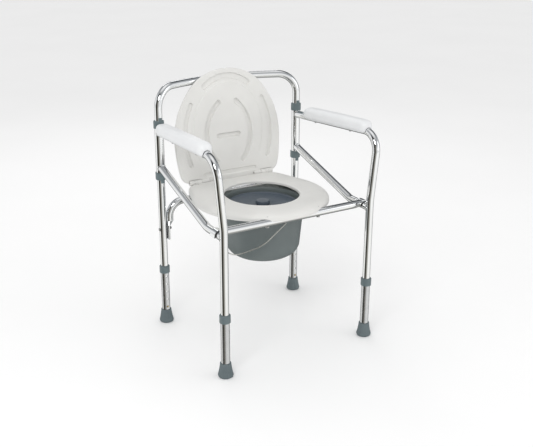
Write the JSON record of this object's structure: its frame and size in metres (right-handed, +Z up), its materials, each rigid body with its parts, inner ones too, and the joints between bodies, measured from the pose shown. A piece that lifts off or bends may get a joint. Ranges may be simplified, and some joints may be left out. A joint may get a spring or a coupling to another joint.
{
  "type": "commode chair",
  "caption": "Folding commode chair: chrome tube frame with arms, seat ring and leaning lid, lidded pail with a wire bail, and height-adjustable legs with rubber tips.",
  "frame": {"origin": "on the floor, under the middle of the chair", "axes": "+Z up, the sitter faces -Y, +X to the right of someone who faces the chair"},
  "size_m": [0.5496, 0.4824, 0.767],
  "materials": {
    "frame_chrome": "polished",
    "leg_chrome": "satin",
    "fastener_steel": "satin",
    "black_plastic": "moulded",
    "grey_plastic": "moulded",
    "grey_rubber": "moulded",
    "button_brass": "plated",
    "pad_plastic": "satin",
    "pail_plastic": "moulded",
    "pail_lid_plastic": "moulded",
    "bail_wire": "satin",
    "seat_plastic": "satin"
  },
  "bodies": {
    "back_frame": {"back_tube": "frame_chrome", "rear_cross_tube": "frame_chrome", "cross_tube_bolts": "fastener_steel", "cross_tube_nuts": "black_plastic", "left_hinge_bracket": "seat_plastic", "right_hinge_bracket": "seat_plastic", "hinge_pins": "fastener_steel"},
    "left_side": {"left_arm_leg_tube": "frame_chrome", "left_sleeve": "frame_chrome", "left_brace": "frame_chrome", "left_upper_bush": "grey_plastic", "left_lower_bush": "grey_plastic", "left_arm_pad": "pad_plastic", "left_pad_screws": "fastener_steel"},
    "right_side": {"right_arm_leg_tube": "frame_chrome", "right_sleeve": "frame_chrome", "right_brace": "frame_chrome", "right_upper_bush": "grey_plastic", "right_lower_bush": "grey_plastic", "right_arm_pad": "pad_plastic", "right_pad_screws": "fastener_steel"},
    "left_front_leg": {"left_front_extension": "leg_chrome", "left_front_collar": "grey_plastic", "left_front_tip": "grey_rubber"},
    "left_front_button": {"left_front_button": "button_brass"},
    "left_rear_leg": {"left_rear_extension": "leg_chrome", "left_rear_collar": "grey_plastic", "left_rear_tip": "grey_rubber"},
    "left_rear_button": {"left_rear_button": "button_brass"},
    "right_front_leg": {"right_front_extension": "leg_chrome", "right_front_collar": "grey_plastic", "right_front_tip": "grey_rubber"},
    "right_front_button": {"right_front_button": "button_brass"},
    "right_rear_leg": {"right_rear_extension": "leg_chrome", "right_rear_collar": "grey_plastic", "right_rear_tip": "grey_rubber"},
    "right_rear_button": {"right_rear_button": "button_brass"},
    "seat_frame": {"front_crossbar": "frame_chrome", "left_saddle_liner": "black_plastic", "right_saddle_liner": "black_plastic", "seat_ring": "seat_plastic", "seat_screws": "fastener_steel", "left_pail_rail": "seat_plastic", "right_pail_rail": "seat_plastic", "pail": "pail_plastic"},
    "lid": {"lid": "seat_plastic"},
    "pail_lid": {"pail_lid": "pail_lid_plastic"},
    "bail": {"bail": "bail_wire"}
  },
  "joints": [
    {"name": "seat_lift", "type": "hinge", "parent": "back_frame", "child": "seat_frame", "pos_m": [0, 0.16779, 0.436], "axis": [-1, 0, 0], "range_deg": [0, 80]},
    {"name": "lid_close", "type": "hinge", "parent": "back_frame", "child": "lid", "pos_m": [0, 0.16779, 0.436], "axis": [-1, 0, 0], "range_deg": [-95.4, 0]},
    {"name": "left_side_swing", "type": "hinge", "parent": "back_frame", "child": "left_side", "pos_m": [-0.236, 0.17179, 0.55], "axis": [0, 0, -1], "range_deg": [0, 16]},
    {"name": "right_side_swing", "type": "hinge", "parent": "back_frame", "child": "right_side", "pos_m": [0.236, 0.17179, 0.55], "axis": [0, 0, 1], "range_deg": [0, 16]},
    {"name": "left_front_leg_extend", "type": "slide", "parent": "left_side", "child": "left_front_leg", "axis": [0, 0, -1], "range_m": [0, 0.1016], "deforming": ["left_front_button"]},
    {"name": "left_front_button_press", "type": "slide", "parent": "left_side", "child": "left_front_button", "axis": [0, -1, 0], "range_m": [0, 0.0045], "stiffness_N_per_m": 600},
    {"name": "left_rear_leg_extend", "type": "slide", "parent": "back_frame", "child": "left_rear_leg", "axis": [0, 0, -1], "range_m": [0, 0.1016], "deforming": ["left_rear_button"]},
    {"name": "left_rear_button_press", "type": "slide", "parent": "back_frame", "child": "left_rear_button", "axis": [0, 1, 0], "range_m": [0, 0.0045], "stiffness_N_per_m": 600},
    {"name": "right_front_leg_extend", "type": "slide", "parent": "right_side", "child": "right_front_leg", "axis": [0, 0, -1], "range_m": [0, 0.1016], "deforming": ["right_front_button"]},
    {"name": "right_front_button_press", "type": "slide", "parent": "right_side", "child": "right_front_button", "axis": [0, -1, 0], "range_m": [0, 0.0045], "stiffness_N_per_m": 600},
    {"name": "right_rear_leg_extend", "type": "slide", "parent": "back_frame", "child": "right_rear_leg", "axis": [0, 0, -1], "range_m": [0, 0.1016], "deforming": ["right_rear_button"]},
    {"name": "right_rear_button_press", "type": "slide", "parent": "back_frame", "child": "right_rear_button", "axis": [0, 1, 0], "range_m": [0, 0.0045], "stiffness_N_per_m": 600},
    {"name": "pail_lid_lift", "type": "slide", "parent": "seat_frame", "child": "pail_lid", "axis": [0, 0, 1], "range_m": [0, 0.035]},
    {"name": "bail_swing", "type": "hinge", "parent": "seat_frame", "child": "bail", "pos_m": [0, -0.01921, 0.384], "axis": [0, 1, 0], "range_deg": [0, 38]}
  ],
  "couplings": [
    {"joint": "left_side_swing", "follows": "seat_lift", "ratio": 0.2},
    {"joint": "right_side_swing", "follows": "seat_lift", "ratio": 0.2}
  ]
}
